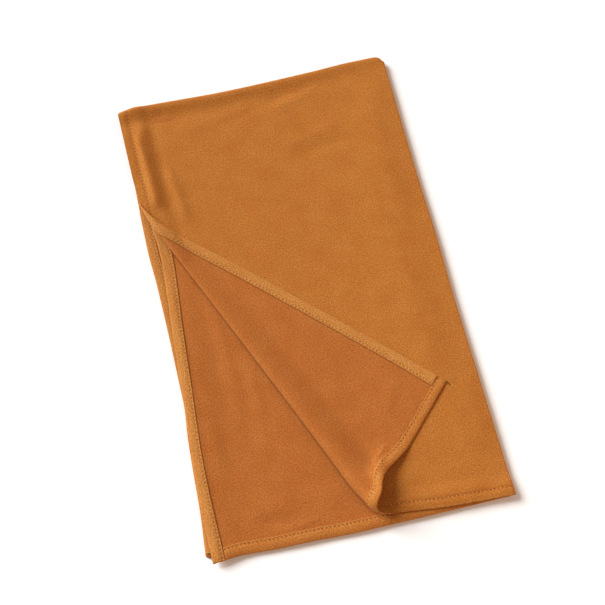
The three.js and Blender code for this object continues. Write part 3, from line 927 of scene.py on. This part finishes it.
        face = self.wrong(x, y) + self.normal(x, y) * self.packet.cloth
        turned.shape(placing.metres(face))
        turned.lay_out(Uses.CLOTH, stack(x, y) * METRES)
        turned.lay_out(Uses.SEAM, self.seam_places(x, y))
        unturned.face_up(1)
        turned.face_up(-1)
        seam = unturned.line(column=0)[:len(shares)] + turned.line(row=0)
        bmesh.ops.remove_doubles(mesh, verts=seam, dist=0.15 * METRES)
        piece = finished("upper_ply_and_turned_corner", mesh, [finishes.face, finishes.back])
        thicken(piece, self.packet.cloth)
        return piece


@dataclass
class SecondPly:
    """The ply beneath, wrong side up, with its half turn inside the fold over the top."""

    packet: Packet
    upper: UpperCloth
    creases: tuple[Crease, ...] = Crease.rows(
        (-116, 30, -108, -50, 6, 0.7, -2.0),
        (-119, -30, -113, -150, 6, -0.8, 3.0),
        (-104, 10, -100, -120, 6, 0.6, 4.0),
        (-82, -60, -80, -165, 7, 1.1, 2.0),
        (-94, -100, -96, -200, 8, -0.6, 2.0),
        (-72, -140, -62, -200, 7, 0.7),
        (-146, -120, -136, -212, 9, 0.9),
        (-112, -262, -84, -272, 5, -0.9),
        (-100, -279, -36, -272, 4.5, 0.9, 3.0),
        (-52, -236, -12, -262, 8, 0.7),
        (-134, -254, -60, -256, 8, 0.9, -3.0),
    )
    fold_radius: float = 1.5
    ripple_height: float = 0.35
    tilt_height: float = 1.5
    over_hem_height: float = 0.9
    corner_height: float = 0.8
    droop_depth: float = 0.6

    def height(self, x: Points, y: Points) -> Points:
        """Height of the upper side, which rises over the hem beneath and to its own hem's inner side."""
        packet = self.packet
        from_left = x - packet.second_left.at(y)
        from_lower = y - packet.second_lower.at(x)
        _, out = self.upper.to_bend(x, y)
        shown = fall(-out, -20, 30)
        soft = relief(self.creases, x, y) * shown
        ripple = self.ripple_height * np.sin(x / 13.0 + 0.7) * bell(from_lower, 16) * shown
        tilt = self.tilt_height * smooth(from_left, 0, 12) * fall(from_left, 16, 44) * fall(y, 10, 100)
        from_hidden = x - packet.hidden_left.at(y)
        over_hem = self.over_hem_height * fall(from_hidden, 12, 20) * fall(y, 125, 150)
        corner = self.corner_height * bell(from_left, 16) * bell(from_lower, 22)
        droop = self.droop_depth * fall(from_lower, -1, 12) + self.droop_depth * fall(from_lower, -1, 5)
        return packet.second_top + soft + ripple + tilt + over_hem + corner - droop

    def seam_places(self, x: Points, y: Points) -> Points:
        """Seam map: the painted shade line beside the side hem, and the contact shadow painted beside the
        roll.
        """
        scale = self.packet.second_hem.at(y) / HEM_SECTION
        beside_hem = Seam.places(y, (x - self.packet.second_left.at(y)) / scale)
        along, out = self.upper.to_bend(x, y)
        # The roll's contact shadow is painted as a shade line on the ply beside the roll's foot.
        beside_roll = 3.1 + 1.1 * (out - self.upper.roll.at(along) + self.upper.inset.at(along))
        beside_hem[:, 1] = np.minimum(beside_hem[:, 1], np.maximum(beside_roll, -40.0))
        return beside_hem

    def upper_side(self, x: Points, y: Points) -> Points:
        """Points of the upper side."""
        return stack(x, y, self.height(x, y))

    def place(self, u: Points, v: Points) -> tuple[Points, Points]:
        """Layout x and y at a share of the way across and up."""
        packet = self.packet
        x, y = np.zeros(np.shape(u)), np.zeros(np.shape(u))
        for _ in range(FITTING_ROUNDS):
            x = between(packet.second_left.at(y), packet.long_fold.at(y) - 1.4, u)
            y = between(packet.second_lower.at(x), packet.far_edge(x) - 2.7, v)
        return x, y

    def surface(self, u: Points, v: Points) -> Points:
        """Upper side, with its half turn past a share of one."""
        x, y = self.place(u, np.minimum(v, 1.0))
        turn = np.clip(v - 1, 0.0, 1.0) * math.pi
        return stack(x, y + self.fold_radius * np.sin(turn),
                     self.height(x, y) - self.fold_radius * (1 - np.cos(turn)))

    def build(self, placing: Placing, finishes: Finishes) -> bpy.types.Object:
        """Make the ply.

        Args:
            placing: turns layout points into frame points.
            finishes: the scarf's finishes.

        Returns:
            The finished piece.
        """
        mesh = bmesh.new()
        columns = graded((0, 0.06, 0.006), (0.06, 0.6, 0.0115), (0.6, 1.0, 0.03))
        rows = graded((0, 0.05, 0.004), (0.05, 0.8, 0.0065), (0.8, 1.0, 0.02), (1.0, 2.0, 0.2))
        patch = Patch(mesh, columns, rows)
        patch.shape(placing.metres(self.surface(patch.u, patch.v)))
        x, y = self.place(patch.u, np.minimum(patch.v, 1.0))
        patch.lay_out(Uses.CLOTH, stack(x, y) * METRES)
        patch.lay_out(Uses.SEAM, self.seam_places(x, y))
        patch.face_up(1)
        piece = finished("second_ply", mesh, [finishes.back, finishes.face])
        thicken(piece, self.packet.cloth)
        return piece


@dataclass(frozen=True)
class Slip:
    """How a hidden ply lies out of line at its lower left corner and at the long fold."""

    corner: float
    side: float


@dataclass
class HiddenPlies:
    """The four plies beneath as one rounded solid: four edges at the left, two folds at the right.

    Attributes:
        slips: how each ply lies, from the bottom up.
        layers: thickness of the rounded layers at the left, at the right and in front.
        steps: heights in a ply at which its outline is drawn.
        left_ends: lowest and highest y of the left edge.
        round_start: x at which the far right corner starts to round off.
        round_depth: how far that corner drops.
        lips: how far the lowest ply and the others lie in from the fold over the top.
    """

    packet: Packet
    slips: tuple[Slip, ...] = (Slip(0.0, 0.5), Slip(1.5, 0.5), Slip(3.0, 0.2), Slip(1.2, 0.2))
    layers: Triple = (1.0, 2.0, 4.0)
    steps: tuple[float, ...] = (0.0, 0.1, 0.3, 0.5, 0.7, 0.9)
    left_ends: Pair = (-287.0, 288.0)
    round_start: float = 164.0
    round_depth: float = 14.0
    lips: Pair = (0.8, 3.1)

    def lobe(self, height: float, depth: float) -> float:
        """Inset of a rounded edge.

        Args:
            height: height above the surface that the packet lies on.
            depth: how thick each rounded layer is.

        Returns:
            How far the edge lies in from its outermost line.
        """
        phase = (height % depth) / depth if height < self.packet.hidden_top else 1.0
        return depth / 2 * (1 - math.sqrt(max(0.0, 1 - (2 * phase - 1) ** 2)))

    def outline(self, slip: Slip, height: float) -> Points:
        """Ring of layout points at one height, from the lower left corner up and round.

        Args:
            slip: how the ply at this height lies.
            height: the height.

        Returns:
            Rows of x, y and z.
        """
        packet = self.packet
        at_left, at_right, at_front = (self.lobe(height, depth) for depth in self.layers)
        lip = self.lips[0] if height < packet.room else self.lips[1]
        ys = np.linspace(*self.left_ends, 150)
        left = packet.hidden_left.at(ys) + slip.corner * fall(ys, -280, -180) + at_left
        far_x = np.linspace(left[-1] + 1.5, self.round_start, 40)
        far = packet.far_edge(far_x) - lip - at_left
        low = packet.hidden_lower.at(far_x[-1]) + at_front
        down = np.linspace(far[-1] - self.round_depth, low + 3.0, 70)
        right = packet.long_fold.at(down) - slip.side - at_right
        turns = np.linspace(0.1, 0.9, 9) * (math.pi / 2)
        round_x = far_x[-1] + (right[0] - far_x[-1]) * np.sin(turns)
        round_y = far[-1] - self.round_depth * (1 - np.cos(turns))
        back_x = np.linspace(right[-1] - 1.5, left[0] + 1.5, 90)
        back = packet.hidden_lower.at(back_x) + at_front
        ring_x = np.concatenate((left, far_x, round_x, right, back_x))
        ring_y = np.concatenate((ys, far, round_y, down, back))
        return stack(ring_x, np.maximum(ring_y, packet.hidden_lower.at(ring_x) + at_front), height)

    def build(self, placing: Placing, finishes: Finishes) -> bpy.types.Object:
        """Make the solid.

        Args:
            placing: turns layout points into frame points.
            finishes: the scarf's finishes.

        Returns:
            The finished piece.
        """
        rings = [self.outline(slip, ply + step) for ply, slip in enumerate(self.slips) for step in self.steps]
        rings.append(self.outline(self.slips[-1], self.packet.hidden_top))
        points = np.array(rings)
        up, around, _ = points.shape
        mesh = bmesh.new()
        patch = Patch(mesh, np.arange(around + 1.0), np.arange(float(up)))
        patch.shape(placing.metres(points[patch.row, patch.column % around]))
        close_up(mesh)
        layers = [mesh.loops.layers.uv.new(use.value) for use in Uses]
        for face in mesh.faces:
            for corner in face.loops:
                place = corner.vert.co
                corner[layers[0]].uv = (place.x, place.y + place.z)
                corner[layers[1]].uv = Seam.far_off
        return finished("hidden_plies", mesh, [finishes.face])


class Band(Enum):
    """The hems that show, by the name of their piece."""

    UPPER_SIDE = "upper_ply_side_hem"
    UPPER_END = "upper_ply_end_hem"
    SECOND_SIDE = "second_ply_side_hem"
    SECOND_END = "second_ply_end_hem"
    HIDDEN_SIDE = "hidden_ply_side_hem"


Route = Callable[[Points, Points], Points]
Track = Callable[[Points, Points], tuple[Points, Points]]


@dataclass
class Hem:
    """A turned hem: the cloth's edge folded to its wrong side and stitched down.

    Attributes:
        band: which hem it is.
        solids: names of the solids that it replaces.
        start: where it starts along its edge.
        stop: where it stops.
        surface: place of the wrong side at a position along the edge and a distance in from it.
        outward: direction out of the wrong side there.
        width: its width along its length.
        both_sides: whether its stitches show on the face side too.
        lit: whether its inner fold faces the light, with no painted shade line beside it.
        fullness: how full it is, as a share of a plain hem's height.
        section: distance in from the edge and height of each point of its cross-section.
        stitch: length, width and height of a stitch.
    """

    band: Band
    solids: tuple[str, ...]
    start: float
    stop: float
    surface: Route
    outward: Route
    width: Profile
    both_sides: bool
    lit: bool = False
    fullness: float = 1.0
    spacing: float = 1.6
    section: tuple[tuple[float, float], ...] = (
        (0.6, -0.84), (0.0, -0.82), (-0.45, -0.62), (-0.68, -0.2), (-0.68, 0.25), (-0.4, 0.68), (0.2, 0.98),
        (1.2, 1.2), (2.6, 1.38), (4.2, 1.46), (6.0, 1.42), (8.0, 1.24), (9.5, 1.0), (10.5, 0.72),
        (11.2, 0.56), (11.9, 0.7), (12.5, 0.86), (13.1, 0.84), (13.6, 0.66), (13.9, 0.36), (13.85, 0.05),
        (12.0, -0.03), (6.0, -0.03), (0.3, -0.03), (0.25, -0.6))
    wrong_row: float = 0.62
    face_row: float = -0.4
    stitch: Triple = (2.9, 0.75, 0.5)
    stitch_wander: float = 0.12

    def lift(self, along: Points, inward: Points, height: Points) -> Points:
        """Height above the wrong side, with the pucker that the stitches draw into the hem."""
        pucker = 0.10 * np.sin(along * 0.61 + 1.3 * np.sin(along * 0.083)) + 0.07 * np.sin(along * 1.17)
        puckered = pucker * smooth(height, 0.3, 0.9) * fall(np.abs(inward - Seam.inset), 1.0, 9.0)
        return np.where(height > 0, height * self.fullness, height) + puckered

    def points(self, along: Points, inward: Points, height: Points) -> Points:
        """Places of a section's points at positions along the edge."""
        scale = self.width.at(along) / HEM_SECTION
        held = np.maximum(0.0, inward * scale)
        base = self.surface(along, held)
        rise = self.outward(along, held)
        edge_in = unit(self.surface(along, held + PROBE) - self.surface(along, np.maximum(0.0, held - PROBE)))
        past_edge = np.minimum(0.0, inward)
        return base + rise * self.lift(along, inward, height)[:, None] + edge_in * past_edge[:, None]

    def build(self, placing: Placing, finishes: Finishes) -> bpy.types.Object:
        """Make the hem as a closed strip.

        Args:
            placing: turns layout points into frame points.
            finishes: the scarf's finishes.

        Returns:
            The finished piece.
        """
        inward, height = np.array(self.section + self.section[:1]).T
        mesh = bmesh.new()
        count = max(2, round((self.stop - self.start) / self.spacing))
        patch = Patch(mesh, np.linspace(self.start, self.stop, count + 1), np.arange(len(inward)) * 1.0)
        patch.shape(placing.metres(self.points(patch.u, inward[patch.row], height[patch.row])))
        scale = self.width.at(patch.u) / HEM_SECTION
        run = stack(patch.u, inward[patch.row] * scale + height[patch.row])
        patch.lay_out(Uses.CLOTH, run * METRES)
        places = Seam.lit_places if self.lit else Seam.places
        patch.lay_out(Uses.SEAM, places(patch.u, inward[patch.row]))
        close_up(mesh)
        # The side hems take the finish painted palest, as painted light.
        return finished(self.band.value, mesh, [finishes.end_hem if self.lit else finishes.side_hem])

    def stitches(self, placing: Placing, finishes: Finishes) -> bpy.types.Object:
        """Make the hem's row of stitches as one joined mesh.

        Args:
            placing: turns layout points into frame points.
            finishes: the scarf's finishes.

        Returns:
            The finished piece.
        """
        mesh = bmesh.new()
        middles = Seam.middles(self.start + 2, self.stop - 2)
        row = np.full(len(middles), Seam.inset)
        sides = ((self.wrong_row, 1.0), (self.face_row, -1.0))
        for height, up in sides if self.both_sides else sides[:1]:
            heights = np.full(len(middles), height)
            place = self.points(middles, row, heights)
            ahead = self.points(middles + 1.0, row, heights) - place
            rise = self.outward(middles, row * self.width.at(middles) / HEM_SECTION) * up
            for i, (middle, forward, out) in enumerate(zip(placing.metres(place), unit(ahead), unit(rise))):
                self.add_stitch(mesh, middle, forward, out, self.stitch_wander * math.sin(i * 2.4))
        return finished(f"{self.band.value}_stitches", mesh, [finishes.thread])

    def add_stitch(self, mesh: bmesh.types.BMesh, middle: Points, forward: Points, up: Points,
                   turn: float) -> None:
        """Add one rounded stitch.

        Args:
            mesh: bmesh that takes it.
            middle: its middle, in metres.
            forward: direction of its row.
            up: direction out of the cloth.
            turn: how far it is turned off its row.
        """
        forward = forward * math.cos(turn) + np.cross(up, forward) * math.sin(turn)
        axes = stack(forward, np.cross(up, forward), up) * self.stitch
        frame = Matrix([*stack(*axes.T, middle / METRES), (0.0, 0.0, 0.0, 1.0)])
        bmesh.ops.create_uvsphere(
            mesh, u_segments=6, v_segments=5, radius=0.5, matrix=Matrix.Scale(METRES, 4) @ frame)


def stand(thing: bpy.types.Object, place: Vector, toward: Vector) -> None:
    """Put a camera or a light in the scene.

    Args:
        thing: its object.
        place: where it stands, in metres.
        toward: direction that it faces.
    """
    thing.location = place
    thing.rotation_mode = "QUATERNION"
    thing.rotation_quaternion = toward.to_track_quat("-Z", "Y")
    bpy.context.scene.collection.objects.link(thing)


@dataclass
class Studio:
    """Floor, soft light and the camera at the photo's angle."""

    placing: Placing
    lens: float = 86.28
    azimuth: float = math.radians(-13.459)
    elevation: float = math.radians(67.91)
    distance: float = 1751.6
    target: Triple = (-1.79, -11.05, 0.0)
    floor_half: float = 14.0
    floor_drop: float = 0.0004
    floor_colour: Triple = (0.94, 0.96, 0.98)
    air_colour: Triple = (1.0, 0.88, 0.78)
    air_strength: float = 0.26

    def camera(self) -> None:
        """Set up the camera."""
        data = bpy.data.cameras.new("camera")
        data.lens = self.lens
        data.sensor_width = 36.0
        camera = bpy.data.objects.new("camera", data)
        level = math.cos(self.elevation)
        back = Vector((
            math.sin(self.azimuth) * level, -math.cos(self.azimuth) * level, math.sin(self.elevation)))
        target = Vector(self.placing.metres(np.array([self.target]))[0])
        stand(camera, target + back * self.distance * METRES, -back)
        bpy.context.scene.camera = camera

    def floor(self) -> None:
        """Lay the plain pale floor."""
        recipe = Recipe("floor", {
            "Base Color": opaque(self.floor_colour), "Roughness": 0.9, "Specular IOR Level": 0.1})
        mesh = bmesh.new()
        bmesh.ops.create_grid(mesh, x_segments=2, y_segments=2, size=self.floor_half)
        bmesh.ops.translate(mesh, verts=mesh.verts[:], vec=(0.0, 0.0, -self.floor_drop))
        finished("floor", mesh, [recipe.material])

    def light(self, name: str, kind: str, place: Triple, **options: object) -> None:
        """Add a light that faces the packet.

        Args:
            name: its name.
            kind: its type.
            place: where it stands, in metres.
            options: its strength, colour and size.
        """
        data = bpy.data.lights.new(name, kind)
        for option, value in options.items():
            setattr(data, option, value)
        lamp = bpy.data.objects.new(name, data)
        lamp.visible_camera = False
        stand(lamp, Vector(place), -Vector(place))

    def build(self) -> None:
        """Set up the camera, the floor, a broad even key light, a warm fill light and the air."""
        self.camera()
        self.floor()
        self.light("key", "SUN", (-4.99, 4.78, 4.0),
                   angle=math.radians(37.0), energy=5.0, color=(0.97, 1.0, 1.02))
        self.light("fill", "AREA", (2.6, -2.2, 2.6),
                   shape="SQUARE", size=3.5, energy=72.0, color=(1.0, 0.60, 0.36))
        world = bpy.data.worlds.new("studio")
        world.use_nodes = True
        air = world.node_tree.nodes["Background"]
        air.inputs["Color"].default_value = opaque(self.air_colour)
        air.inputs["Strength"].default_value = self.air_strength
        bpy.context.scene.world = world
        bpy.context.scene.view_settings.view_transform = "Standard"


@dataclass
class Headscarf:
    """The folded scarf: its plies, hems and stitches."""

    placing: Placing
    finishes: Finishes
    packet: Packet = field(default_factory=Packet)

    def __post_init__(self) -> None:
        """Set up the plies."""
        self.upper = UpperCloth(self.packet)
        self.second = SecondPly(self.packet, self.upper)

    def hems(self) -> list[Hem]:
        """List the hems that show.

        Returns:
            The hems, from the top of the packet down.
        """
        packet, upper, second = self.packet, self.upper, self.second

        def side(edge: Profile) -> Track:
            """Layout x and y along an upright edge, and in from it."""
            return lambda along, inward: (edge.at(along) + inward, along)

        def end(edge: Profile) -> Track:
            """Layout x and y along a level edge, and in from it."""
            return lambda along, inward: (along, edge.at(along) + inward)

        def straight_up(along: Points, _: Points) -> Points:
            """Direction out of a ply that lies flat."""
            return stack(0 * along, 0 * along, 0 * along + 1.0)

        def on_upper(track: Track) -> dict[str, Route]:
            """Wrong side of the upper ply along a track."""
            return {"surface": lambda along, inward: upper.wrong(*track(along, inward)),
                    "outward": lambda along, inward: -upper.normal(*track(along, inward))}

        def on_second(track: Track) -> dict[str, Route]:
            """Upper side of the second ply along a track."""
            return {"surface": lambda along, inward: second.upper_side(*track(along, inward)),
                    "outward": straight_up}

        def on_hidden(along: Points, inward: Points) -> Points:
            """Top of the hidden plies beside their left edge."""
            slip = 1.2 * fall(along, -280, -180) + 0.2
            return stack(packet.hidden_left.at(along) + slip + inward, along, packet.hidden_top)

        return [
            Hem(Band.UPPER_SIDE, ("top_side_hem", "flap_side_hem"), -273.8, 289.0, width=packet.upper_hem,
                both_sides=True, **on_upper(side(packet.left))),
            Hem(Band.UPPER_END, ("top_end_hem", "flap_end_hem"), -173.6, 176.0, width=packet.upper_end_hem,
                both_sides=True, lit=True, **on_upper(end(packet.lower))),
            Hem(Band.SECOND_SIDE, ("second_side_hem",), -297.8, 288.0, width=packet.second_hem,
                both_sides=False, **on_second(side(packet.second_left))),
            Hem(Band.SECOND_END, ("second_end_hem",), -158.6, 176.0, width=packet.second_end_hem,
                both_sides=False, lit=True, **on_second(end(packet.second_lower))),
            Hem(Band.HIDDEN_SIDE, (), -285.5, 152.0, width=packet.hidden_hem, both_sides=False,
                fullness=0.75, surface=on_hidden, outward=straight_up),
        ]

    def build(self) -> None:
        """Make every piece, tie it to its body and hide the solids that it stands for."""
        hidden = HiddenPlies(self.packet).build(self.placing, self.finishes)
        second = self.second.build(self.placing, self.finishes)
        upper = self.upper.build(self.placing, self.finishes)
        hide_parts("under_layers")
        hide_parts("second_layer")
        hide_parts("top_layer", "turned_corner")
        on_ply = {band: [] for band in Band}
        for hem in self.hems():
            band = hem.build(self.placing, self.finishes)
            row = hem.stitches(self.placing, self.finishes)
            if hem.solids:
                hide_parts(*hem.solids)
            for piece in (band, row):
                on_ply[hem.band].append(piece)
        upper_parts = on_ply[Band.UPPER_SIDE] + on_ply[Band.UPPER_END]
        second_parts = on_ply[Band.SECOND_SIDE] + on_ply[Band.SECOND_END]
        hidden_parts = on_ply[Band.HIDDEN_SIDE]
        for piece in (hidden, second, upper, *upper_parts, *second_parts, *hidden_parts):
            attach(piece, BODY)
            log.info("built %s with %d faces", piece.name, len(piece.data.polygons))


def main() -> None:
    """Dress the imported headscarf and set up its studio."""
    logging.basicConfig(level=logging.INFO, format="%(message)s")
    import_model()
    placing = Placing.from_solid("top_layer", high_x=180.0, high_y=298.0)
    Studio(placing).build()
    Headscarf(placing, Finishes.make()).build()


if __name__ == "__main__":
    main()
